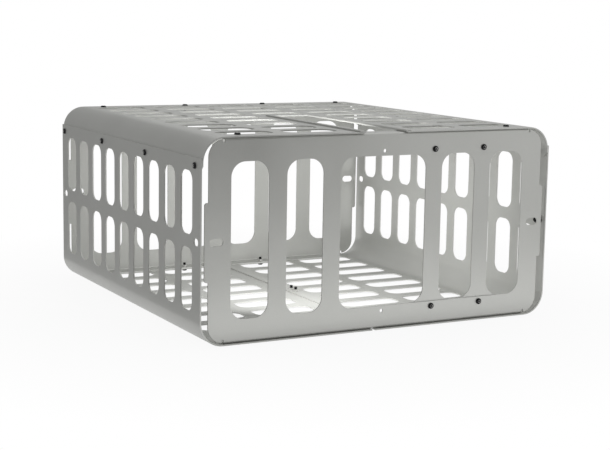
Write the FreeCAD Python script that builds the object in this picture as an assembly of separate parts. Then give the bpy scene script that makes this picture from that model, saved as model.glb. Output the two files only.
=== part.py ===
"""Bolted sheet-metal roof cargo basket: a closed, slotted cage of bent aluminium panels.

Two side shells (each a wall and half of the floor) are lapped along the floor's centre,
a lid closes the top, and a front and a back panel are bolted between them. The front
panel has one wide window, crossed by loose upright bars that are bolted on from behind.

Millimetres. +Z up, the front panel faces -Y, the origin is at the bottom centre.
"""
import FreeCAD
import Part

import math
import os

from FreeCAD import Rotation, Vector

# ---- driving dimensions ------------------------------------------------------------
width = 600.0              # across the outer faces of the two walls
depth = 600.0              # front edge to back edge of walls, floor and lid
height = 300.0             # underside of the floor to the top of the lid
sheet = 2.0                # panel thickness
bend_radius = 36.0         # outer radius of the long bends of shells and lid

wall_drop = 30.0           # top of the lid down to the walls' top edges
lid_flange_straight = 12.0  # flat part of the lid's side flanges, below its long bends
lid_flange_chamfer = 7.0

slot_rows = 9              # rows of slots from front to back, in walls, floor and lid
slot_end_margin = 29.0     # front and back edges to the first and last rows
slot_width = 42.0
slot_corner = 15.0
wall_slot_foot = 11.0      # end of the long bend to the lower slots of a wall
wall_slot_gap = 18.75      # metal between the lower and the upper slots
wall_slot_head = 2.25      # upper slots to the lower edge of the lid's flange
floor_columns = 2          # columns of slots in each half of the floor
floor_slot_gap = 20.0      # metal between neighbouring floor columns
floor_seam_strip = 27.5    # from the centre to the first floor column
lid_columns = 5
lid_slot_gap = 20.0
bend_margin = 9.5          # outer floor and lid slots to the start of the long bends

notch_width = 70.0         # clear width of the cut-out in the lid
notch_rows = 5             # slot rows that the cut-out replaces
hem_width = 9.2            # folded edge on each side of the cut-out
hem_gap = 0.3
hem_setback = 1.0          # lid's front edge to the ends of the hems
notch_corner = 6.0

lap_edge = -4.0            # inner edge of the right shell's tongue
lap_end = 14.0             # edge of the left shell's floor under the tongue
joggle_run = 4.0
butt_seam = -14.0          # middle of the gap between the floor halves under the end panels
butt_gap = 5.0
seam_gap = 0.4

panel_recess = 3.0         # end panels behind the edges of the shells
panel_side_margin = 13.5   # wall's outer face to the end panel's edge
panel_corner = 25.0
panel_bend = 4.0
panel_flange = 29.0
flange_bend_gap = 0.5      # end of a panel flange to the start of the lid's bend
relief_width = 3.0
relief_depth = 2.5
tab_margin = 7.5           # wall's outer face to the end of a side tab
tab_height = 114.0
tab_corner = 4.0

window_count = 6
window_width = 60.0
window_side = 35.0         # end panel's side edge to the first window
window_rim = 34.25         # end panel's top and bottom to the windows
window_corner = 22.0
fixed_windows = 2          # closed windows on the left of the front panel
bar_positions = (1, 2)     # bars fitted, counted in pitches from the centre
bar_end_overlap = 16.0     # bar behind the panel beyond the window
bar_end_corner = 3.0
bar_screw_offset = 7.5     # screw beyond the window's edge

panel_slot_length = 21.5
panel_slot_width = 11.5
panel_slot_inset = 26.0    # wall's outer face to the slot's centre
wall_hole_length = 16.0
wall_hole_height = 11.0
wall_hole_inset = 16.0     # edge of the wall to the hole's centre

screw_radius = 2.5
screw_clearance = 0.25
screw_length = 12.0
tip_chamfer = 0.4
head_radius = 4.75
head_height = 2.75
head_rim = 0.15            # share of a head's height that stands straight
head_crown = 0.45          # share of a head's radius that is flat on top
head_shoulder = (0.82, 0.7)  # a point of the dome, as shares of radius and height
socket_across = 3.0
socket_depth = 1.6
nut_across = 8.0
nut_height = 4.0
nut_clearance = 0.1
nut_land = 0.2             # how far a nut's chamfer starts inside its flats

wall_screw_front = 20.5    # front edge to the first wall screw
wall_screw_back = 12.5     # back edge to the last wall screw
wall_screw_count = 4
wall_screw_drop = 5.3      # start of the lid's bend down to the wall screws
flange_screw_inset = 24.0  # front and back edges to the screws through the panel flanges
flange_screw_end = 28.55   # end of a panel flange to its outer screw
flange_screw_count = 4
seam_screw_offset = 8.0    # from mid-depth
seam_screw_x = 5.0
slot_bolt_radius = 3.0
slot_bolt_head = 7.0
slot_bolt_length = 11.0
slot_nut_across = 10.0
slot_nut_height = 5.0
washer_radius = 7.5
washer_height = 1.0

# ---- values worked out from them ---------------------------------------------------
past = 1.0                 # cutting tools stand this far past the face they cut
cut_depth = 6 * sheet      # length of a tool that cuts one sheet or a stack of two
floor_z = head_height      # the screw heads under the floor touch the ground
top_z = floor_z + height
mid_z = floor_z + height / 2
half_width = width / 2
half_depth = depth / 2
wall_top = top_z - wall_drop
lid_bend_z = top_z - bend_radius
lid_flange_bottom = lid_bend_z - lid_flange_straight
slot_pitch = (depth - 2 * slot_end_margin - slot_width) / (slot_rows - 1)
slot_ys = [(k - (slot_rows - 1) / 2) * slot_pitch for k in range(slot_rows)]
wall_slot_bottom = floor_z + bend_radius + wall_slot_foot
wall_slot_length = (lid_flange_bottom - wall_slot_head - wall_slot_bottom - wall_slot_gap) / 2
wall_slot_zs = [wall_slot_bottom + wall_slot_length / 2 + row * (wall_slot_length + wall_slot_gap)
                for row in range(2)]
floor_slots_end = half_width - bend_radius - bend_margin
floor_slots_span = floor_slots_end - floor_seam_strip
floor_slot_length = (floor_slots_span - (floor_columns - 1) * floor_slot_gap) / floor_columns
lid_slots_end = half_width - sheet - bend_radius - bend_margin
lid_slot_length = (2 * lid_slots_end - (lid_columns - 1) * lid_slot_gap) / lid_columns
panel_bottom = floor_z + sheet
panel_top = top_z - sheet
panel_front = -half_depth + panel_recess      # outer face of the front panel
window_height = panel_top - panel_bottom - 2 * window_rim
window_span = width - 2 * (panel_side_margin + window_side)
window_pitch = (window_span - window_width) / (window_count - 1)
flange_end = half_width - sheet - bend_radius - flange_bend_gap
flange_reach = panel_recess + panel_flange    # from the end edge to the flange's edge
hole_radius = screw_radius + screw_clearance
hem_radius = sheet + hem_gap / 2
notch_edge = notch_width / 2 + hem_radius     # where the hem leaves the flat lid
notch_back = slot_ys[notch_rows - 1] + slot_width / 2
hem_front = -half_depth + hem_setback
hem_back = notch_back - notch_corner
wall_screw_pitch = (depth - wall_screw_front - wall_screw_back) / (wall_screw_count - 1)
wall_screw_ys = [-half_depth + wall_screw_front + k * wall_screw_pitch for k in range(wall_screw_count)]
wall_screw_z = lid_bend_z - wall_screw_drop
flange_screw_pitch = 2 * (flange_end - flange_screw_end) / (flange_screw_count - 1)
flange_screw_xs = [(k - (flange_screw_count - 1) / 2) * flange_screw_pitch for k in range(flange_screw_count)]
outer_screw_xs = [flange_screw_xs[0], flange_screw_xs[-1]]
flange_screw_y = half_depth - flange_screw_inset
bar_xs = [n * window_pitch for n in bar_positions]
bar_hole_xs = [n * window_pitch for n in (0,) + bar_positions]
bar_screw_zs = [mid_z + side * (window_height / 2 + bar_screw_offset) for side in (-1, 1)]
wall_hole_y = half_depth - wall_hole_inset


# ---- drawing helpers ---------------------------------------------------------------
def line(a, b):
    return Part.LineSegment(a, b).toShape()


def arc(a, through, b):
    return Part.Arc(a, through, b).toShape()


def prism(edges, along):
    """Solid swept from a closed outline."""
    return Part.Face(Part.Wire(edges)).extrude(along)


def box(x, y, z):
    """Box from (low, high) pairs."""
    size = [high - low for low, high in (x, y, z)]
    return Part.makeBox(*size, Vector(x[0], y[0], z[0]))


def upright_edges(shape):
    return [e for e in shape.Edges if abs(e.tangentAt(e.FirstParameter).z) > 0.9]


def rounded_block(length, breadth, corner, thickness):
    """Rounded rectangle in XY, centred, standing on both sides of z = 0."""
    a = length / 2
    b = breadth / 2
    block = Part.makeBox(length, breadth, thickness, Vector(-a, -b, -thickness / 2))
    return block.makeFillet(min(corner, 0.499 * min(length, breadth)), upright_edges(block))


def obround_block(length, breadth, thickness):
    """Slot with half-round ends in XY, centred, standing on both sides of z = 0."""
    half = (length - breadth) / 2
    low = -thickness / 2
    ends = [Part.makeCylinder(breadth / 2, thickness, Vector(side * half, 0, low)) for side in (-1, 1)]
    middle = Part.makeBox(2 * half, breadth, thickness, Vector(-half, -breadth / 2, low))
    return middle.fuse(ends).removeSplitter()


def aim(shape, point, direction):
    """Copy of a shape whose +Z points in a direction and whose origin is at a point."""
    turned = shape.copy()
    place = FreeCAD.Placement(point, Rotation(Vector(0, 0, 1), direction))
    turned.Placement = place.multiply(shape.Placement)
    return turned


def cut_all(body, tools):
    return body.cut(Part.makeCompound(tools)) if tools else body


def drill(points, direction, radius):
    """Cylinders through one sheet or a stack of sheets, centred on the points."""
    start = direction * (cut_depth / 2)
    return [Part.makeCylinder(radius, cut_depth, p - start, direction) for p in points]


def mirror_x(shape):
    return shape.mirror(Vector(0, 0, 0), Vector(1, 0, 0))


def upright_slot(x, y, z, length, breadth, corner):
    """Slot through a wall: long side upright, cut along X."""
    tool = rounded_block(breadth, length, corner, cut_depth)
    tool.rotate(Vector(0, 0, 0), Vector(1, 0, 0), 90)
    tool.rotate(Vector(0, 0, 0), Vector(0, 0, 1), 90)
    tool.translate(Vector(x, y, z))
    return tool


def level_slot(x, y, z, length, breadth, corner):
    """Slot through the floor or the lid: long side along X, cut along Z."""
    tool = rounded_block(length, breadth, corner, cut_depth)
    tool.translate(Vector(x, y, z))
    return tool


def window(x, z, length, tall, corner):
    """Opening through an end panel, cut along Y."""
    tool = rounded_block(length, tall, corner, cut_depth)
    tool.rotate(Vector(0, 0, 0), Vector(1, 0, 0), 90)
    tool.translate(Vector(x, panel_front, z))
    return tool


# ---- side shells -------------------------------------------------------------------
def shell_section(floor_edge):
    """Section of the left wall, its long bend and the floor up to floor_edge."""
    y = -half_depth
    outer = -half_width
    inner = outer + sheet
    upper = floor_z + sheet
    centre_x = outer + bend_radius
    centre_z = floor_z + bend_radius
    slant = math.sqrt(0.5)
    big = bend_radius * slant
    small = (bend_radius - sheet) * slant
    return [
        line(Vector(outer, y, wall_top), Vector(outer, y, centre_z)),
        arc(Vector(outer, y, centre_z), Vector(centre_x - big, y, centre_z - big),
            Vector(centre_x, y, floor_z)),
        line(Vector(centre_x, y, floor_z), Vector(floor_edge, y, floor_z)),
        line(Vector(floor_edge, y, floor_z), Vector(floor_edge, y, upper)),
        line(Vector(floor_edge, y, upper), Vector(centre_x, y, upper)),
        arc(Vector(centre_x, y, upper), Vector(centre_x - small, y, centre_z - small),
            Vector(inner, y, centre_z)),
        line(Vector(inner, y, centre_z), Vector(inner, y, wall_top)),
        line(Vector(inner, y, wall_top), Vector(outer, y, wall_top)),
    ]


def shell_cuts():
    """Slots and holes that both shells share, for the left one."""
    tools = []
    for y in slot_ys:
        for z in wall_slot_zs:
            tools.append(upright_slot(-half_width, y, z, wall_slot_length, slot_width, slot_corner))
        for column in range(floor_columns):
            x = floor_seam_strip + floor_slot_length / 2 + column * (floor_slot_length + floor_slot_gap)
            tools.append(level_slot(-x, y, floor_z, floor_slot_length, slot_width, slot_corner))
    for side in (-1, 1):
        tool = obround_block(wall_hole_length, wall_hole_height, cut_depth)
        tool.rotate(Vector(0, 0, 0), Vector(0, 0, 1), 90)
        tool.rotate(Vector(0, 0, 0), Vector(0, 1, 0), 90)
        tool.translate(Vector(-half_width, side * wall_hole_y, mid_z))
        tools.append(tool)
    screws = [Vector(-half_width, y, wall_screw_z) for y in wall_screw_ys]
    tools += drill(screws, Vector(1, 0, 0), hole_radius)
    for side in (-1, 1):
        points = [Vector(x, side * flange_screw_y, floor_z) for x in flange_screw_xs if x < 0]
        tools += drill(points, Vector(0, 0, 1), hole_radius)
    return tools


def seam_holes():
    points = [Vector(seam_screw_x, side * seam_screw_offset, floor_z) for side in (-1, 1)]
    return drill(points, Vector(0, 0, 1), hole_radius)


def lap_span():
    """Part of the depth in which the floor halves overlap, clear of the panel flanges."""
    reach = half_depth - flange_reach - 2 * seam_gap
    return (-reach, reach)


def make_left_shell():
    low, high = lap_span()
    shell = prism(shell_section(lap_end), Vector(0, depth, 0))
    beyond = (butt_seam - butt_gap / 2, lap_end + past)
    heights = (floor_z - past, floor_z + sheet + past)
    outside = half_depth + past
    ends = [box(beyond, (-outside, low), heights), box(beyond, (high, outside), heights)]
    return cut_all(shell, ends + shell_cuts() + seam_holes())


def make_right_shell():
    """Mirror of the left shell, with a joggled tongue over the left one's floor."""
    low, high = lap_span()
    edge = -butt_seam - butt_gap / 2
    shell = prism(shell_section(edge), Vector(0, depth, 0))
    joggle_start = lap_end + seam_gap
    joggle_stop = joggle_start + joggle_run
    middle = box((-joggle_stop, edge + past), (low - seam_gap, high + seam_gap),
                 (floor_z - past, floor_z + sheet + past))
    shell = mirror_x(cut_all(shell, [middle] + shell_cuts()))
    lower = floor_z
    upper = floor_z + sheet
    ends = [Vector(joggle_stop, low, lower), Vector(joggle_start, low, upper), Vector(lap_edge, low, upper),
            Vector(lap_edge, low, upper + sheet), Vector(joggle_start, low, upper + sheet),
            Vector(joggle_stop, low, lower + sheet)]
    outline = [line(a, b) for a, b in zip(ends, ends[1:] + ends[:1])]
    tongue = prism(outline, Vector(0, high - low, 0))
    return cut_all(shell.fuse(tongue).removeSplitter(), seam_holes())


# ---- lid ---------------------------------------------------------------------------
def lid_section():
    """Outline of the lid from the left flange over the top to the right flange."""
    y = -half_depth
    slant = math.sqrt(0.5)
    half = half_width - sheet
    bottom = lid_flange_bottom
    edges = []
    for offset in (0.0, sheet):
        wide = half - offset
        level = top_z - offset
        radius = bend_radius - offset
        centre_x = wide - radius
        centre_z = level - radius
        corner = radius * slant
        edges.append(line(Vector(-wide, y, bottom), Vector(-wide, y, centre_z)))
        edges.append(arc(Vector(-wide, y, centre_z), Vector(-centre_x - corner, y, centre_z + corner),
                         Vector(-centre_x, y, level)))
        edges.append(line(Vector(-centre_x, y, level), Vector(centre_x, y, level)))
        edges.append(arc(Vector(centre_x, y, level), Vector(centre_x + corner, y, centre_z + corner),
                         Vector(wide, y, centre_z)))
        edges.append(line(Vector(wide, y, centre_z), Vector(wide, y, bottom)))
    edges.append(line(Vector(-half, y, bottom), Vector(-half + sheet, y, bottom)))
    edges.append(line(Vector(half, y, bottom), Vector(half - sheet, y, bottom)))
    return Part.__sortEdges__(edges)


def hem(side):
    """Fold and doubled strip on one side of the cut-out."""
    y = hem_front
    start = side * notch_edge
    end = side * (notch_width / 2 + hem_width)
    nose = side * notch_width / 2
    middle = top_z + hem_gap / 2
    lower = top_z - sheet
    upper = top_z + hem_gap + sheet
    edges = [
        arc(Vector(start, y, lower), Vector(nose, y, middle), Vector(start, y, upper)),
        line(Vector(start, y, upper), Vector(end, y, upper)),
        line(Vector(end, y, upper), Vector(end, y, upper - sheet)),
        line(Vector(end, y, upper - sheet), Vector(start, y, upper - sheet)),
        arc(Vector(start, y, upper - sheet), Vector(start - side * hem_gap / 2, y, middle),
            Vector(start, y, top_z)),
        line(Vector(start, y, top_z), Vector(start, y, lower)),
    ]
    return prism(edges, Vector(0, hem_back - hem_front, 0))


def flange_chamfer(side, end):
    """Wedge that takes the lower corner off a side flange of the lid."""
    y = end * (half_depth + past)
    size = lid_flange_chamfer + past
    bottom = lid_flange_bottom
    start = side * (half_width + sheet)
    corners = [Vector(start, y, bottom - past), Vector(start, y - end * (size + past), bottom - past),
               Vector(start, y, bottom + size)]
    outline = [line(a, b) for a, b in zip(corners, corners[1:] + corners[:1])]
    return prism(outline, Vector(-side * cut_depth, 0, 0))


def make_lid():
    lid = prism(lid_section(), Vector(0, depth, 0))
    tools = []
    for row, y in enumerate(slot_ys):
        for column in range(lid_columns):
            from_centre = column - (lid_columns - 1) / 2
            if from_centre == 0 and row < notch_rows:
                continue
            x = from_centre * (lid_slot_length + lid_slot_gap)
            tools.append(level_slot(x, y, top_z, lid_slot_length, slot_width, slot_corner))
    notch = box((-notch_edge, notch_edge), (-half_depth - past, notch_back),
                (top_z - cut_depth / 2, top_z + cut_depth / 2))
    back_edges = [e for e in upright_edges(notch) if e.CenterOfMass.y > notch_back - past]
    tools.append(notch.makeFillet(notch_corner, back_edges))
    for side in (-1, 1):
        wall_points = [Vector(side * half_width, y, wall_screw_z) for y in wall_screw_ys]
        tools += drill(wall_points, Vector(1, 0, 0), hole_radius)
        tools += [flange_chamfer(side, end) for end in (-1, 1)]
    back_points = [Vector(x, flange_screw_y, top_z) for x in flange_screw_xs]
    front_points = [Vector(x, -flange_screw_y, top_z) for x in outer_screw_xs]
    tools += drill(back_points + front_points, Vector(0, 0, 1), hole_radius)
    lid = cut_all(lid, tools)
    return lid.fuse([hem(-1), hem(1)]).removeSplitter()


# ---- end panels --------------------------------------------------------------------
def panel_flat():
    """Flat of an end panel with its side tabs, as if it faced the front."""
    wide = half_width - panel_side_margin
    tall = panel_top - panel_bottom - 2 * (panel_bend - sheet)
    flat = rounded_block(2 * wide, tall, panel_corner, sheet)
    flat.translate(Vector(0, mid_z, 0))
    tab = rounded_block(2 * (half_width - tab_margin), tab_height, tab_corner, sheet)
    tab.translate(Vector(0, mid_z, 0))
    flat = flat.fuse(tab).removeSplitter()
    flat.rotate(Vector(0, 0, 0), Vector(1, 0, 0), 90)
    flat.translate(Vector(0, panel_front + sheet / 2, 0))
    reach = flange_end + relief_width
    for edge, side in ((panel_top, 1), (panel_bottom, -1)):
        root = edge - side * (panel_bend + relief_depth)
        span = sorted((root, edge + side * past))
        flat = flat.cut(box((-reach, reach), (panel_front - past, panel_front + sheet + past), span))
    return flat


def panel_strip(side):
    """Bent strip that joins the flat to its top (side 1) or bottom (side -1) flange."""
    x = -flange_end
    edge = panel_top if side > 0 else panel_bottom
    root = edge - side * (panel_bend + relief_depth)
    outer = panel_front
    inner = panel_front + sheet
    centre_y = outer + panel_bend
    centre_z = edge - side * panel_bend
    slant = math.sqrt(0.5)
    big = panel_bend * slant
    small = (panel_bend - sheet) * slant
    end = outer + panel_flange
    under = edge - side * sheet
    edges = [
        line(Vector(x, outer, root), Vector(x, outer, centre_z)),
        arc(Vector(x, outer, centre_z), Vector(x, centre_y - big, centre_z + side * big),
            Vector(x, centre_y, edge)),
        line(Vector(x, centre_y, edge), Vector(x, end, edge)),
        line(Vector(x, end, edge), Vector(x, end, under)),
        line(Vector(x, end, under), Vector(x, centre_y, under)),
        arc(Vector(x, centre_y, under), Vector(x, centre_y - small, centre_z + side * small),
            Vector(x, inner, centre_z)),
        line(Vector(x, inner, centre_z), Vector(x, inner, root)),
        line(Vector(x, inner, root), Vector(x, outer, root)),
    ]
    return prism(edges, Vector(2 * flange_end, 0, 0))


def make_panel(windows, holes, top_screw_xs):
    """End panel facing the front; the back panel is turned round afterwards."""
    panel = panel_flat().fuse([panel_strip(side) for side in (-1, 1)]).removeSplitter()
    tools = list(windows)
    for side in (-1, 1):
        tool = obround_block(panel_slot_length, panel_slot_width, cut_depth)
        tool.rotate(Vector(0, 0, 0), Vector(1, 0, 0), 90)
        tool.translate(Vector(side * (half_width - panel_slot_inset), panel_front, mid_z))
        tools.append(tool)
    tools += drill(holes, Vector(0, 1, 0), hole_radius)
    bottom_points = [Vector(x, -flange_screw_y, panel_bottom) for x in flange_screw_xs]
    top_points = [Vector(x, -flange_screw_y, panel_top) for x in top_screw_xs]
    tools += drill(bottom_points + top_points, Vector(0, 0, 1), hole_radius)
    return cut_all(panel, tools)


def window_x(index):
    return (index - (window_count - 1) / 2) * window_pitch


def make_front_panel():
    """Front panel: closed windows on the left, then one wide window for the loose bars."""
    windows = [window(window_x(n), mid_z, window_width, window_height, window_corner)
               for n in range(fixed_windows)]
    left = window_x(fixed_windows) - window_width / 2
    right = window_x(window_count - 1) + window_width / 2
    windows.append(window((left + right) / 2, mid_z, right - left, window_height, window_corner))
    holes = [Vector(x, panel_front, z) for x in bar_hole_xs for z in bar_screw_zs]
    return make_panel(windows, holes, outer_screw_xs)


def make_back_panel():
    """Back panel with all its windows closed off from each other."""
    windows = [window(window_x(n), mid_z, window_width, window_height, window_corner)
               for n in range(window_count)]
    panel = make_panel(windows, [], flange_screw_xs)
    panel.rotate(Vector(0, 0, 0), Vector(0, 0, 1), 180)
    return panel


def make_bar(x):
    """Loose upright bar, flared at both ends and bolted on behind the front panel."""
    flare = window_pitch - window_width
    wide = flare / 2 + window_corner
    end = window_height / 2 + bar_end_overlap
    back = panel_front + sheet
    blank = rounded_block(2 * wide, 2 * end, bar_end_corner, sheet)
    blank.rotate(Vector(0, 0, 0), Vector(1, 0, 0), 90)
    blank.translate(Vector(x, back + sheet / 2, mid_z))
    sides = [window(x + side * window_pitch / 2, mid_z, window_width, window_height, window_corner)
             for side in (-1, 1)]
    holes = drill([Vector(x, back, z) for z in bar_screw_zs], Vector(0, 1, 0), hole_radius)
    return cut_all(blank, sides + holes)


# ---- fasteners ---------------------------------------------------------------------
def hex_prism(across, tall):
    radius = across / math.sqrt(3)
    turns = [k * math.pi / 3 for k in range(6)]
    corners = [Vector(radius * math.cos(a), radius * math.sin(a), 0) for a in turns]
    return prism([line(a, b) for a, b in zip(corners, corners[1:] + corners[:1])], Vector(0, 0, tall))


def button_screw(radius, head, tall, length):
    """Button-head socket screw: head on +Z from the origin, shank down -Z."""
    rim = head_rim * tall
    flat = head_crown * head
    shoulder = Vector(head_shoulder[0] * head, 0, head_shoulder[1] * tall)
    profile = [
        line(Vector(0, 0, -length), Vector(radius - tip_chamfer, 0, -length)),
        line(Vector(radius - tip_chamfer, 0, -length), Vector(radius, 0, -length + tip_chamfer)),
        line(Vector(radius, 0, -length + tip_chamfer), Vector(radius, 0, 0)),
        line(Vector(radius, 0, 0), Vector(head, 0, 0)),
        line(Vector(head, 0, 0), Vector(head, 0, rim)),
        arc(Vector(head, 0, rim), shoulder, Vector(flat, 0, tall)),
        line(Vector(flat, 0, tall), Vector(0, 0, tall)),
        line(Vector(0, 0, tall), Vector(0, 0, -length)),
    ]
    body = Part.Face(Part.Wire(profile)).revolve(Vector(0, 0, 0), Vector(0, 0, 1), 360)
    socket = hex_prism(socket_across * radius / screw_radius, socket_depth + past)
    socket.translate(Vector(0, 0, tall - socket_depth))
    return body.cut(socket)


def hex_nut(across, tall, bore):
    """Hexagon nut under the origin, its outer corners turned off."""
    blank = hex_prism(across, tall)
    corner = across / math.sqrt(3)
    land = across / 2 - nut_land
    cone = Part.makeCone(corner + tall, land, tall + corner - land)
    nut = blank.common(cone)
    nut = nut.cut(Part.makeCylinder(bore, tall + 2 * past, Vector(0, 0, -past)))
    nut.rotate(Vector(0, 0, 0), Vector(1, 0, 0), 180)
    return nut


def washer(outer, bore, tall):
    """Flat ring under the origin."""
    low = Vector(0, 0, -tall)
    return Part.makeCylinder(outer, tall, low).cut(Part.makeCylinder(bore, 3 * tall, 2 * low))


def screw_set(points, direction, stack):
    """Screws with their heads on the points and nuts behind a stack of sheets."""
    screw = button_screw(screw_radius, head_radius, head_height, screw_length)
    nut = hex_nut(nut_across, nut_height, screw_radius + nut_clearance)
    screws = [aim(screw, p, direction) for p in points]
    nuts = [aim(nut, p - direction * stack, direction) for p in points]
    return Part.makeCompound(screws), Part.makeCompound(nuts)


def slot_bolt_parts():
    """Larger bolt clamped in the front slot of the right wall."""
    direction = Vector(1, 0, 0)
    face = Vector(half_width, -wall_hole_y, mid_z)
    seat = face - direction * sheet
    inside = seat - direction * washer_height
    bolt = button_screw(slot_bolt_radius, slot_bolt_head, head_height, slot_bolt_length)
    nut = hex_nut(slot_nut_across, slot_nut_height, slot_bolt_radius + nut_clearance)
    ring = washer(washer_radius, slot_bolt_radius + screw_clearance, washer_height)
    return aim(bolt, face, direction), aim(nut, inside, direction), aim(ring, seat, direction)


# ---- the assembly ------------------------------------------------------------------
def make_parts():
    parts = {
        "side_shell_left": make_left_shell(),
        "side_shell_right": make_right_shell(),
        "lid": make_lid(),
        "front_panel": make_front_panel(),
        "back_panel": make_back_panel(),
    }
    for number, x in enumerate(bar_xs, start=1):
        parts["front_bar_%d" % number] = make_bar(x)

    up = Vector(0, 0, 1)
    out = Vector(1, 0, 0)
    ahead = Vector(0, -1, 0)
    stack = 2 * sheet
    places = {
        "left_wall": ([Vector(-half_width, y, wall_screw_z) for y in wall_screw_ys], -out),
        "right_wall": ([Vector(half_width, y, wall_screw_z) for y in wall_screw_ys], out),
        "lid_front": ([Vector(x, -flange_screw_y, top_z) for x in outer_screw_xs], up),
        "lid_back": ([Vector(x, flange_screw_y, top_z) for x in flange_screw_xs], up),
        "floor_front": ([Vector(x, -flange_screw_y, floor_z) for x in flange_screw_xs], -up),
        "floor_back": ([Vector(x, flange_screw_y, floor_z) for x in flange_screw_xs], -up),
        "seam": ([Vector(seam_screw_x, side * seam_screw_offset, floor_z) for side in (-1, 1)], -up),
        "bar": ([Vector(x, panel_front, z) for x in bar_xs for z in bar_screw_zs], ahead),
    }
    for name, (points, direction) in places.items():
        parts[name + "_screws"], parts[name + "_nuts"] = screw_set(points, direction, stack)
    parts["slot_bolt"], parts["slot_bolt_nut"], parts["slot_bolt_washer"] = slot_bolt_parts()
    return parts


os.makedirs("parts", exist_ok=True)
for name, shape in make_parts().items():
    if not shape.isValid():
        raise ValueError(name + " is not a valid shape")
    shape.exportStep("parts/" + name + ".step")
    print(name, len(shape.Solids), "solids", round(shape.Volume / 1000, 2), "cm3")
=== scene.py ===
"""Looks for the bolted sheet-metal roof cargo basket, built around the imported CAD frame.

Metres, +Z up, the front panel faces -Y. The panels are refined copies of the CAD sheets with
their cut edges broken, and the fasteners are modelled anew with threads and rounded edges.
"""

import math

import bmesh
import bpy
from mathutils import Matrix, Vector


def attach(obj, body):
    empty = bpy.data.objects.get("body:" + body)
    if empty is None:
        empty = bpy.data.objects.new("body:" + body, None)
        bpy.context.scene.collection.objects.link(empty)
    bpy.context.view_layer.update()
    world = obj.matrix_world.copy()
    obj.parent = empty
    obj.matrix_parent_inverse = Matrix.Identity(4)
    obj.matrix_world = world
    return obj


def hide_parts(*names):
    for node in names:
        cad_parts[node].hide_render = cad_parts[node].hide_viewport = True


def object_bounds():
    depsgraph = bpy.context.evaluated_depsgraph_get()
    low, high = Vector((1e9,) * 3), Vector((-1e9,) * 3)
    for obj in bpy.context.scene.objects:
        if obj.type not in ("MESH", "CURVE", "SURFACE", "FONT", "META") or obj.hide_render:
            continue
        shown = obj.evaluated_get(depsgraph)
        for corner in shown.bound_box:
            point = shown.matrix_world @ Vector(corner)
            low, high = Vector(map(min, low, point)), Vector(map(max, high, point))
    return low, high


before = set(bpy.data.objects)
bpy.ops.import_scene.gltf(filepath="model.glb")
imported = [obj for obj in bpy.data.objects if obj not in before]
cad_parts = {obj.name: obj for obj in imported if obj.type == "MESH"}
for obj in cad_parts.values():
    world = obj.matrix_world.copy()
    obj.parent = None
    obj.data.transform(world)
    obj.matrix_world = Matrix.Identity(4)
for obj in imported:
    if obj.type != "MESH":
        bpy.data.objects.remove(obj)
cad_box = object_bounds()

MM = 0.001

# ---- panels ------------------------------------------------------------------------
PANELS = ("side_shell_left", "side_shell_right", "lid", "front_panel", "back_panel",
          "front_bar_1", "front_bar_2")
EDGE_BREAK = 0.30 * MM       # rounding of a panel's cut edges
EDGE_SEGMENTS = 2
EDGE_PROFILE = 0.6           # 0.5 is a round edge, 1 a square one
WELD = 0.002 * MM            # corners nearer than this are one
FLAT_ANGLE = math.radians(0.6)
SHARP_ANGLE = math.radians(40)
SHADING_ANGLE = math.radians(50)
CURVED_SHARE = 0.3           # a facet of a bend has this share of its outline in soft edges
BEND, FLAT, EDGE = 0, 1, 2   # kinds of face: of a bend, of a flat, of a rounded or rubbed edge, or of a screw socket's painted glint

# ---- fasteners ---------------------------------------------------------------------
OUTWARD = {"left_wall": (-1, 0, 0), "right_wall": (1, 0, 0), "lid": (0, 0, 1),
           "floor": (0, 0, -1), "seam": (0, 0, -1), "bar": (0, -1, 0), "slot_bolt": (1, 0, 0)}
TURN = 36                    # facets round a fastener
SMALL_EDGE = 0.15 * MM       # rounding of the fasteners' edges
GOLDEN_TURN = 2.39996        # turns each fastener on from the last, as hand-tightened ones are
HALF_SIDE = math.pi / 6      # half the angle that one side of a hexagon takes up
HEAD_HEIGHT = 2.75 * MM
SHANK_SHARE = 2.5 / 4.75     # shank radius as a share of the head's, on the small screws
BOLT_SHANK_SHARE = 3.0 / 7.0
RIM_SHARE = 0.16             # height of a head's straight rim as a share of the head's
DOME_STEPS = 9
DOME_POWER = 0.8             # 1 is an elliptical dome, less a fuller one
SOCKET_SHARE = 0.35          # half the socket's width as a share of the head's radius
SOCKET_DEPTH = 1.6 * MM
SOCKET_POINT_SHARE = 0.55    # the middle of the socket's floor, a little deeper
THREAD_PITCH = 0.8 * MM
THREAD_DEPTH = 0.35 * MM
THREAD_FLANK = 2.4           # 2 is a plain V, more leaves the crest flat
RINGS_PER_PITCH = 6
RUN_OUT_RINGS = 3            # rings over which a thread fades in and out
NUT_BORE_SHARE = 0.62        # bore as a share of the distance across a nut's flats
NUT_CHAMFER = math.radians(30)
WASHER_BORE_SHARE = 0.43

# ---- materials ---------------------------------------------------------------------
NOISE_RANGE = (0.3, 0.7)     # where nearly all of a noise's values lie
PANEL_METALLIC = 0.50
PANEL_DARK = (0.445, 0.450, 0.428)
PANEL_LIGHT = (0.485, 0.490, 0.468)
PANEL_SPECKLE = (0.56, 0.56, 0.54)
PANEL_WORN = (0.66, 0.66, 0.64)
BLACK_METALLIC = 0.6
BLACK_DARK = (0.006, 0.006, 0.007)
BLACK_LIGHT = (0.014, 0.014, 0.015)
# painted highlight: the light glint colour laid on a screw socket's mouth and walls
BLACK_GLINT = (0.62, 0.62, 0.60)
ZINC_METALLIC = 0.85
ZINC_DARK = (0.54, 0.54, 0.52)
ZINC_LIGHT = (0.66, 0.66, 0.64)

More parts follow.
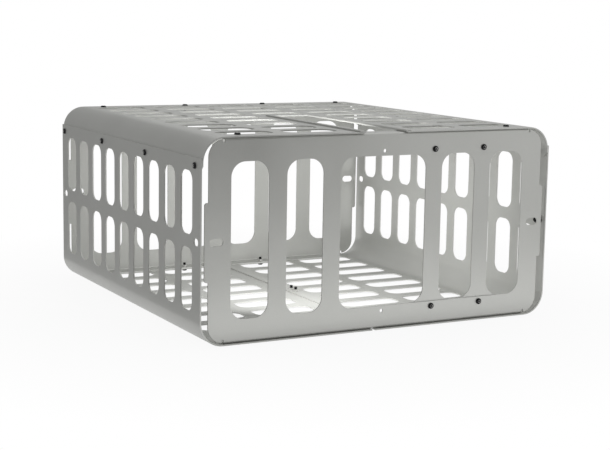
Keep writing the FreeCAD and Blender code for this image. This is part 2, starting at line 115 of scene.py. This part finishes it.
# ---- light -------------------------------------------------------------------------
AMBIENT = 0.50
FLOOR_REACH = 12.0           # from its middle to its sides
FLOOR_COLOUR = (0.8, 0.8, 0.8, 1.0)
FLOOR_NEAR = 0.92            # how white the floor shows under the object, 1 further out
FLOOR_FADE = (0.35, 0.8)     # distances between which it turns fully white
CARD_LIFT = 0.002            # of the cards that lie on the floor
WHITE = (1.0, 1.0, 1.0, 1.0)
LAMPS = (                    # name, place, what it faces, size, watts, shows itself
    ("front_right_soft", (1.6, -1.8, 0.5), (0.25, -0.3, 0.1), (1.2, 1.2), 1.5, True),
    ("overhead_soft", (0.3, 0.3, 2.4), (0.0, 0.0, 0.2), (2.0, 2.0), 5.0, True),
    ("inside_soft", (-0.08, -0.16, 0.17), (0.2, 0.3, 0.14), (0.20, 0.18), 2.2, False))
CARDS = (                    # name, place, what it faces, size, brightness
    ("front_card", (-0.10, -1.15, 0.66), (-0.10, 0.0, 0.66), (0.95, 1.08), 0.08),
    ("back_left_card", (-0.68, 1.0, 0.75), (-0.5, 0.0, 0.75), (1.55, 1.5), 0.40),
    ("back_right_card", (1.30, 1.9, 0.75), (0.2, 0.0, 0.75), (2.0, 1.1), 0.50),
    ("left_floor_card", (-0.75, 0.35, CARD_LIFT), (-0.75, 0.35, 1.0), (0.80, 1.3), 0.45),
    ("near_floor_card", (0.22, -0.47, CARD_LIFT), (0.22, -0.47, 1.0), (1.0, 0.26), 1.7))

# ---- camera ------------------------------------------------------------------------
CAMERA_PLACE = Vector((-1.0960, -2.1050, 0.4854))
CAMERA_YAW = math.radians(28.04)     # to the right of +Y
CAMERA_PITCH = math.radians(8.753)   # downwards
CAMERA_ROLL = math.radians(-0.966)
CAMERA_LENS = 84.17
CAMERA_SENSOR = 36.0
CAMERA_FAR = 100.0


# ---- materials ---------------------------------------------------------------------
class Nodes:
    """Short way to lay out a node tree, which starts with its output."""

    def __init__(self, tree, output="ShaderNodeOutputMaterial"):
        self.tree = tree
        self.tree.nodes.clear()
        self.output = self.add(output)

    def add(self, kind, **settings):
        node = self.tree.nodes.new(kind)
        for name, value in settings.items():
            setattr(node, name, value)
        return node

    def join(self, source, target):
        self.tree.links.new(source, target)

    def surface(self, shader):
        self.join(shader, self.output.inputs["Surface"])

    def noise(self, coordinates, scale, detail, roughness=0.5):
        node = self.add("ShaderNodeTexNoise")
        node.inputs["Scale"].default_value = scale
        node.inputs["Detail"].default_value = detail
        node.inputs["Roughness"].default_value = roughness
        self.join(coordinates, node.inputs["Vector"])
        return node.outputs["Fac"]

    def spread(self, value, low, high, source=NOISE_RANGE):
        """Number remapped from a source range to low..high."""
        node = self.add("ShaderNodeMapRange")
        node.inputs["From Min"].default_value = source[0]
        node.inputs["From Max"].default_value = source[1]
        node.inputs["To Min"].default_value = low
        node.inputs["To Max"].default_value = high
        self.join(value, node.inputs["Value"])
        return node.outputs["Result"]

    def math(self, operation, a, b):
        node = self.add("ShaderNodeMath", operation=operation)
        self.join(a, node.inputs[0])
        self.join(b, node.inputs[1])
        return node.outputs["Value"]

    def mix_colour(self, factor, a, b):
        node = self.add("ShaderNodeMix", data_type="RGBA")
        self.join(factor, node.inputs["Factor"])
        for socket, value in ((node.inputs[6], a), (node.inputs[7], b)):
            if isinstance(value, tuple):
                socket.default_value = value + (1.0,)
            else:
                self.join(value, socket)
        return node.outputs[2]

    def mix_shaders(self, factor, a, b):
        node = self.add("ShaderNodeMixShader")
        self.join(factor, node.inputs["Fac"])
        self.join(a, node.inputs[1])
        self.join(b, node.inputs[2])
        return node.outputs["Shader"]

    def bump(self, height, distance, strength, normal=None):
        node = self.add("ShaderNodeBump")
        node.inputs["Strength"].default_value = strength
        node.inputs["Distance"].default_value = distance
        self.join(height, node.inputs["Height"])
        if normal is not None:
            self.join(normal, node.inputs["Normal"])
        return node.outputs["Normal"]

    def wear_and_glint_share(self, most):
        """Share of edge colour, worn metal on a panel and a painted glint in a screw socket: from 0
        on a flat or a bend to most on an edge.
        """
        kind = self.add("ShaderNodeAttribute", attribute_name="kind").outputs["Fac"]
        return self.spread(kind, 0.0, most, (FLAT, EDGE))

    def seen(self):
        """1 where the camera, a reflection or glass looks, 0 where light reaches the object."""
        path = self.add("ShaderNodeLightPath")
        seen = self.math("MAXIMUM", path.outputs["Is Camera Ray"], path.outputs["Is Glossy Ray"])
        return self.math("MAXIMUM", seen, path.outputs["Is Transmission Ray"])


def new_material(name, preview):
    material = bpy.data.materials.new(name)
    material.use_nodes = True
    material.diffuse_color = preview + (1.0,)
    return material, Nodes(material.node_tree)


def new_metal(name, preview, metallic, specular_level=0.5):
    """Material, its nodes, its shader's inputs and the place on the object."""
    material, n = new_material(name, preview)
    shader = n.add("ShaderNodeBsdfPrincipled")
    shader.inputs["Metallic"].default_value = metallic
    shader.inputs["Specular IOR Level"].default_value = specular_level
    n.surface(shader.outputs["BSDF"])
    return material, n, shader.inputs, n.add("ShaderNodeTexCoord").outputs["Object"]


def panel_material():
    """Satin silver-grey aluminium: fine bead-blast grain, faint rolling lines, worn edges."""
    material, n, shader, place = new_metal("satin_panel_metal", (0.42, 0.425, 0.41),
                                           PANEL_METALLIC, specular_level=0.4)
    cloud = n.noise(place, scale=9.0, detail=3.0)
    grain = n.noise(place, scale=1500.0, detail=2.0, roughness=0.6)
    stretch = n.add("ShaderNodeMapping")
    stretch.inputs["Scale"].default_value = (1.0, 14.0, 14.0)
    n.join(place, stretch.inputs["Vector"])
    rolling = n.noise(stretch.outputs["Vector"], scale=70.0, detail=4.0, roughness=0.65)

    base = n.mix_colour(n.spread(cloud, 0.0, 1.0), PANEL_DARK, PANEL_LIGHT)
    speckle = n.mix_colour(n.spread(grain, 0.0, 0.35), base, PANEL_SPECKLE)
    n.join(n.mix_colour(n.wear_and_glint_share(0.5), speckle, PANEL_WORN), shader["Base Color"])

    rough = n.math("ADD", n.spread(grain, -0.03, 0.03), n.spread(cloud, 0.35, 0.41))
    n.join(n.math("ADD", rough, n.spread(rolling, -0.025, 0.025)), shader["Roughness"])

    fine = n.bump(grain, distance=0.03 * MM, strength=0.5)
    n.join(n.bump(rolling, distance=0.02 * MM, strength=0.35, normal=fine), shader["Normal"])
    return material


def fastener_material():
    """Black-oxide steel: satin, slightly blotchy, with a painted highlight (a light glint colour)
    round the socket's mouth and walls.
    """
    material, n, shader, place = new_metal("black_fastener_steel", (0.03, 0.03, 0.032),
                                           BLACK_METALLIC, specular_level=0.25)
    blotch = n.noise(place, scale=420.0, detail=3.0)
    grain = n.noise(place, scale=4200.0, detail=2.0)
    base = n.mix_colour(n.spread(blotch, 0.0, 1.0), BLACK_DARK, BLACK_LIGHT)
    # painted highlight: the socket's mouth and walls take the light glint colour
    n.join(n.mix_colour(n.wear_and_glint_share(0.9), base, BLACK_GLINT), shader["Base Color"])
    n.join(n.spread(blotch, 0.24, 0.36), shader["Roughness"])
    n.join(n.bump(grain, distance=0.01 * MM, strength=0.5), shader["Normal"])
    return material


def nut_material():
    """Bright zinc plating: fine spangle, faint clouding and a soft shine."""
    material, n, shader, place = new_metal("zinc_plated_nut", (0.60, 0.60, 0.58), ZINC_METALLIC)
    cloud = n.noise(place, scale=260.0, detail=3.0)
    grain = n.noise(place, scale=3600.0, detail=2.0)
    n.join(n.mix_colour(n.spread(cloud, 0.0, 1.0), ZINC_DARK, ZINC_LIGHT), shader["Base Color"])
    n.join(n.spread(cloud, 0.26, 0.40), shader["Roughness"])
    n.join(n.bump(grain, distance=0.01 * MM, strength=0.4), shader["Normal"])
    return material


panel_metal = panel_material()
black_steel = fastener_material()
zinc = nut_material()


# ---- pieces ------------------------------------------------------------------------
def add_piece(name, mesh, material, slot, *nodes):
    """Object for a finished mesh that stands for CAD nodes."""
    mesh.materials.clear()
    mesh.materials.append(material)
    piece = bpy.data.objects.new(name, mesh)
    bpy.context.scene.collection.objects.link(piece)
    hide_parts(*nodes)
    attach(piece, "root")


def steady_normals(bm, kind):
    """Corner normals that keep flats flat and roll smoothly over bends and rounded edges."""
    normals = []
    for face in bm.faces:
        for vert in face.verts:
            if face[kind] == FLAT:
                normals.append(face.normal.copy())
                continue
            near = [f for f in vert.link_faces
                    if f == face or f.normal.angle(face.normal, 0.0) < SHADING_ANGLE]
            pool = [f for f in near if f[kind] == FLAT] or near
            total = sum((f.normal * f.calc_area() for f in pool), Vector())
            normals.append(total.normalized() if total.length > 0.0 else face.normal.copy())
    return normals


def is_curved(face):
    """True for a facet of a bend or of a rounded cut-out."""
    soft = [e for e in face.edges
            if e.is_manifold and FLAT_ANGLE < e.calc_face_angle() < SHARP_ANGLE]
    outline = sum(e.calc_length() for e in face.edges)
    return len(soft) >= 2 and sum(e.calc_length() for e in soft) > CURVED_SHARE * outline


def write_mesh(bm, kind, name):
    """Mesh with the corner normals that steady_normals works out."""
    for face in bm.faces:
        face.smooth = True
    bm.normal_update()
    normals = steady_normals(bm, kind)
    mesh = bpy.data.meshes.new(name)
    bm.to_mesh(mesh)
    bm.free()
    mesh.normals_split_custom_set(normals)
    return mesh


def refined_panel(node):
    """Copy of a CAD sheet with its flats joined up and its cut edges rounded."""
    bm = bmesh.new()
    bm.from_mesh(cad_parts[node].data)
    bmesh.ops.remove_doubles(bm, verts=bm.verts, dist=WELD)
    bmesh.ops.dissolve_limit(bm, angle_limit=FLAT_ANGLE, verts=bm.verts, edges=bm.edges,
                             use_dissolve_boundaries=False)
    kind = bm.faces.layers.int.new("kind")
    for face in bm.faces:
        face[kind] = BEND if is_curved(face) else FLAT
    sharp = [e for e in bm.edges if e.is_manifold and e.calc_face_angle() > SHARP_ANGLE]
    rounded = bmesh.ops.bevel(bm, geom=sharp, offset=EDGE_BREAK, offset_type="OFFSET",
                              segments=EDGE_SEGMENTS, profile=EDGE_PROFILE, affect="EDGES",
                              clamp_overlap=True, loop_slide=True, harden_normals=False)
    for face in rounded["faces"]:
        face[kind] = EDGE
    bmesh.ops.triangulate(bm, faces=[f for f in bm.faces if len(f.verts) > 4])
    mesh = write_mesh(bm, kind, node + "_refined")
    add_piece(node + "_sheet", mesh, panel_metal, "panel_metal", node)


# ---- fasteners ---------------------------------------------------------------------
def lathe(bm, rings, place, ring_shaped=False):
    """Closed surface through rings, each a function from an angle to (radius, height).

    Returns its bands of faces, one after each ring.
    """
    angles = [2 * math.pi * k / TURN for k in range(TURN)]
    loops = []
    for ring in rings:
        loop = []
        for angle in angles:
            radius, height = ring(angle)
            point = Vector((radius * math.cos(angle), radius * math.sin(angle), height))
            loop.append(bm.verts.new(place @ point))
        loops.append(loop)
    pairs = list(zip(loops, loops[1:]))
    if ring_shaped:
        pairs.append((loops[-1], loops[0]))
    bands = []
    for low, high in pairs:
        bands.append([bm.faces.new((low[k], low[(k + 1) % TURN], high[(k + 1) % TURN], high[k]))
                      for k in range(TURN)])
    if not ring_shaped:
        bm.faces.new(list(reversed(loops[0])))
        bm.faces.new(loops[-1])
    return bands


def circle(radius, height):
    return lambda angle: (radius, height)


def hexagon_radius(apothem, angle):
    """Distance from the middle of a hexagon to its side, in a direction."""
    return apothem / math.cos((angle + HALF_SIDE) % (2 * HALF_SIDE) - HALF_SIDE)


def hexagon(apothem, height):
    return lambda angle: (hexagon_radius(apothem, angle), height)


def thread_wave(turns):
    """From 0 at a thread's root to 1 at its crest."""
    return min(1.0, THREAD_FLANK * abs((turns % 1.0) - 0.5))


def thread_rings(radius, low, high, inward):
    """Rings of a helical thread: inward is 1 for a shank, cut from it, and -1 for a bore."""
    count = max(2, round(RINGS_PER_PITCH * (high - low) / THREAD_PITCH))
    rings = []
    for k in range(count + 1):
        height = low + (high - low) * k / count
        fade = min(1.0, k / RUN_OUT_RINGS, (count - k) / RUN_OUT_RINGS)

        def ring(angle, height=height, fade=fade):
            wave = thread_wave(height / THREAD_PITCH - angle / (2 * math.pi))
            return radius - inward * THREAD_DEPTH * fade * (1.0 - wave), height
        rings.append(ring)
    return rings


def button_screw(bm, place, head, shank, length):
    """Button-head socket screw, its seat at height 0 and its shank pointing down."""
    edge = SMALL_EDGE
    socket = SOCKET_SHARE * head
    mouth = socket / math.cos(HALF_SIDE) + 2 * edge
    floor = HEAD_HEIGHT - SOCKET_DEPTH
    rings = [circle(shank - 3 * edge, -length), circle(shank - edge, -length + 2 * edge)]
    rings += thread_rings(shank, -length + 4 * edge, -2 * edge, 1)
    rings += [circle(shank, 0.0), circle(head - edge, 0.0), circle(head, edge)]
    rim = RIM_SHARE * HEAD_HEIGHT
    for k in range(DOME_STEPS + 1):
        turn = 0.5 * math.pi * k / DOME_STEPS
        radius = mouth + edge + (head - mouth - edge) * math.cos(turn) ** DOME_POWER
        rings.append(circle(radius, rim + (HEAD_HEIGHT - rim) * math.sin(turn)))
    mouth_ring = len(rings)
    rings += [circle(mouth, HEAD_HEIGHT - 0.3 * edge), hexagon(socket, HEAD_HEIGHT - 2.5 * edge),
              hexagon(socket, floor), circle(SOCKET_POINT_SHARE * socket, floor - edge)]
    bands = lathe(bm, rings, place)
    # the socket's mouth chamfer and walls are marked to take the painted glint colour, a painted
    # highlight
    for face in bands[mouth_ring] + bands[mouth_ring + 1]:
        face[bm.faces.layers.int["kind"]] = EDGE


def hexagon_nut(bm, place, apothem, tall):
    """Nut between heights 0 and tall, chamfered at both faces, with a threaded bore."""
    edge = SMALL_EDGE
    bore = NUT_BORE_SHARE * apothem
    land = apothem - edge

    def shoulder(angle):
        """Radius of the hexagon in a direction, and how far the chamfer drops there."""
        radius = hexagon_radius(apothem, angle)
        return radius, (radius - land) * math.tan(NUT_CHAMFER)

    def upper(angle):
        radius, drop = shoulder(angle)
        return radius, tall - drop

    rings = [circle(bore + 2 * edge, 0.0), circle(land, 0.0), shoulder, upper,
             circle(land, tall), circle(bore + 2 * edge, tall)]
    rings += reversed(thread_rings(bore, 2 * edge, tall - 2 * edge, -1))
    lathe(bm, rings, place, ring_shaped=True)


def flat_washer(bm, place, outer, tall):
    """Washer between heights 0 and tall, with rounded edges."""
    edge = SMALL_EDGE
    bore = WASHER_BORE_SHARE * outer
    rings = [circle(bore + edge, 0.0), circle(outer - edge, 0.0), circle(outer, edge),
             circle(outer, tall - edge), circle(outer - edge, tall), circle(bore + edge, tall),
             circle(bore, tall - edge), circle(bore, edge)]
    lathe(bm, rings, place, ring_shaped=True)


def islands(mesh):
    """(lowest, highest) corners of each separate solid in a mesh."""
    bm = bmesh.new()
    bm.from_mesh(mesh)
    bmesh.ops.remove_doubles(bm, verts=bm.verts, dist=WELD)
    left = set(bm.verts)
    boxes = []
    while left:
        stack = [left.pop()]
        low = stack[0].co.copy()
        high = stack[0].co.copy()
        while stack:
            vert = stack.pop()
            for axis in range(3):
                low[axis] = min(low[axis], vert.co[axis])
                high[axis] = max(high[axis], vert.co[axis])
            for edge in vert.link_edges:
                other = edge.other_vert(vert)
                if other in left:
                    left.discard(other)
                    stack.append(other)
        boxes.append((low, high))
    bm.free()
    return sorted(boxes, key=lambda box: tuple(round(c, 5) for c in box[0]))


def refined_fasteners(node):
    """Threaded, rounded screws, nuts or washers where the CAD solids of a node are."""
    group = next(name for name in OUTWARD if node.startswith(name))
    outward = Vector(OUTWARD[group])
    turn = outward.to_track_quat("Z", "Y").to_matrix().to_4x4()
    axis = max(range(3), key=lambda k: abs(outward[k]))
    shank_share = BOLT_SHANK_SHARE if group == "slot_bolt" else SHANK_SHARE
    is_nut = node.endswith(("_nuts", "_nut"))
    is_washer = node.endswith("_washer")
    bm = bmesh.new()
    kind = bm.faces.layers.int.new("kind")
    for number, (low, high) in enumerate(islands(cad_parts[node].data)):
        spans = [high[k] - low[k] for k in range(3)]
        tall = spans.pop(axis)
        half = max(spans) / 2
        seat = -tall / 2 if is_nut or is_washer else tall / 2 - HEAD_HEIGHT
        spin = Matrix.Rotation(GOLDEN_TURN * number, 4, "Z")
        place = Matrix.Translation((low + high) / 2 + outward * seat) @ turn @ spin
        if is_nut:
            hexagon_nut(bm, place, half * math.cos(HALF_SIDE), tall)
        elif is_washer:
            flat_washer(bm, place, half, tall)
        else:
            button_screw(bm, place, half, shank_share * half, tall - HEAD_HEIGHT)
    mesh = write_mesh(bm, kind, node + "_refined")
    if node.endswith("_nuts"):
        add_piece(node + "_detail", mesh, zinc, "zinc_nuts", node)
    else:
        add_piece(node + "_detail", mesh, black_steel, "black_fasteners", node)


for node in sorted(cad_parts):
    if node in PANELS:
        refined_panel(node)
    else:
        refined_fasteners(node)


# ---- stage -------------------------------------------------------------------------
def square(name, reach):
    """Level square object that reaches so far from its middle to its sides."""
    bm = bmesh.new()
    bmesh.ops.create_grid(bm, x_segments=1, y_segments=1, size=reach)
    mesh = bpy.data.meshes.new(name)
    bm.to_mesh(mesh)
    bm.free()
    sheet = bpy.data.objects.new(name, mesh)
    bpy.context.scene.collection.objects.link(sheet)
    return sheet


def facing(place, target, axis):
    """Rotation that points an object's axis from a place at a target."""
    return (Vector(target) - Vector(place)).to_track_quat(axis, "Y").to_euler()


def make_floor():
    """Pale floor: white to the camera and to reflections, with the object's soft shadow left in."""
    floor = square("floor", FLOOR_REACH)
    floor.location.z = cad_box[0].z
    material, n = new_material("pale_floor", (0.9, 0.9, 0.9))
    diffuse = n.add("ShaderNodeBsdfDiffuse")
    diffuse.inputs["Color"].default_value = FLOOR_COLOUR
    white = n.add("ShaderNodeEmission")
    white.inputs["Strength"].default_value = 1.0
    distance = n.add("ShaderNodeVectorMath", operation="LENGTH")
    n.join(n.add("ShaderNodeTexCoord").outputs["Object"], distance.inputs[0])
    cover = n.spread(distance.outputs["Value"], FLOOR_NEAR, 1.0, FLOOR_FADE)
    n.surface(n.mix_shaders(n.math("MULTIPLY", n.seen(), cover), diffuse.outputs["BSDF"],
                            white.outputs["Emission"]))
    floor.data.materials.append(material)


def make_world():
    """Even ambient light, with a white background where the camera or a reflection sees it."""
    world = bpy.data.worlds.new("studio")
    bpy.context.scene.world = world
    world.use_nodes = True
    n = Nodes(world.node_tree, "ShaderNodeOutputWorld")
    backgrounds = []
    for strength in (AMBIENT, 1.0):
        background = n.add("ShaderNodeBackground")
        background.inputs["Color"].default_value = WHITE
        background.inputs["Strength"].default_value = strength
        backgrounds.append(background.outputs["Background"])
    n.surface(n.mix_shaders(n.seen(), *backgrounds))


def area_lamp(name, place, target, size, watts, shows_itself):
    lamp = bpy.data.lights.new(name, "AREA")
    lamp.shape = "RECTANGLE"
    lamp.size, lamp.size_y = size
    lamp.energy = watts
    lamp_object = bpy.data.objects.new(name, lamp)
    lamp_object.location = place
    lamp_object.rotation_euler = facing(place, target, "-Z")
    lamp_object.visible_camera = shows_itself
    lamp_object.visible_glossy = shows_itself
    bpy.context.scene.collection.objects.link(lamp_object)


def studio_card(name, place, target, size, brightness):
    """Glowing studio card that only shows in the metal's reflections."""
    card = square(name, 0.5)
    card.location = place
    card.scale = (size[0], size[1], 1.0)
    card.rotation_euler = facing(place, target, "Z")
    material, n = new_material(name, (brightness,) * 3)
    glow = n.add("ShaderNodeEmission")
    glow.inputs["Strength"].default_value = brightness
    n.surface(glow.outputs["Emission"])
    card.data.materials.append(material)
    card.visible_camera = False
    card.visible_diffuse = False
    card.visible_shadow = False


make_floor()
make_world()
for lamp in LAMPS:
    area_lamp(*lamp)
for card in CARDS:
    studio_card(*card)


# ---- camera ------------------------------------------------------------------------
def make_camera():
    """Camera at the photograph's viewing angle."""
    ahead = Vector((math.sin(CAMERA_YAW) * math.cos(CAMERA_PITCH),
                    math.cos(CAMERA_YAW) * math.cos(CAMERA_PITCH), -math.sin(CAMERA_PITCH)))
    level_right = Vector((math.cos(CAMERA_YAW), -math.sin(CAMERA_YAW), 0.0))
    level_down = ahead.cross(level_right)
    right = math.cos(CAMERA_ROLL) * level_right + math.sin(CAMERA_ROLL) * level_down
    up = math.sin(CAMERA_ROLL) * level_right - math.cos(CAMERA_ROLL) * level_down
    camera = bpy.data.cameras.new("camera")
    camera.lens = CAMERA_LENS
    camera.sensor_width = CAMERA_SENSOR
    camera.clip_end = CAMERA_FAR
    camera_object = bpy.data.objects.new("camera", camera)
    turn = Matrix((right, up, -ahead)).transposed()
    camera_object.matrix_world = Matrix.Translation(CAMERA_PLACE) @ turn.to_4x4()
    bpy.context.scene.collection.objects.link(camera_object)
    bpy.context.scene.camera = camera_object


make_camera()

view = bpy.context.scene.view_settings
view.view_transform = "Standard"
